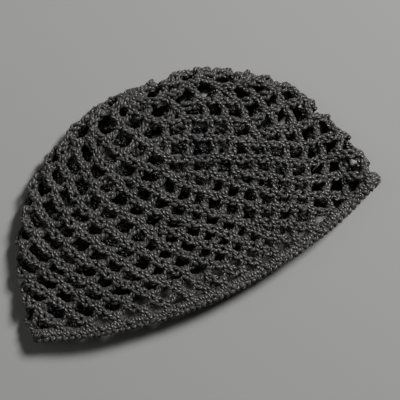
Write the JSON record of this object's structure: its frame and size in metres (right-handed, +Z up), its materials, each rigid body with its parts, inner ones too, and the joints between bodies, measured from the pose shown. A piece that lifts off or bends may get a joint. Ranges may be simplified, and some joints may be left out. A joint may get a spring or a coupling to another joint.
{
  "type": "crochet hat",
  "caption": "Crocheted net skullcap lying collapsed on its side in two layers, with a closed crown and a firm rim band round the open head hollow.",
  "frame": {"origin": "middle of the underside's box, on the surface that the cap lies on", "axes": "+X along the rim from one corner to the other, +Y from the rim to the crown, +Z up through the two layers"},
  "size_m": [0.269, 0.1584, 0.0277],
  "materials": {
    "net_yarn": "plied black yarn worked in chain loops, softly shiny along its plies",
    "band_yarn": "the same black yarn in close short stitches",
    "crown_yarn": "the same black yarn drawn together in a small closed start"
  },
  "bodies": {
    "root": {"crown_centre": "crown_yarn", "net_crown": "net_yarn", "rim_band": "band_yarn"}
  },
  "joints": []
}
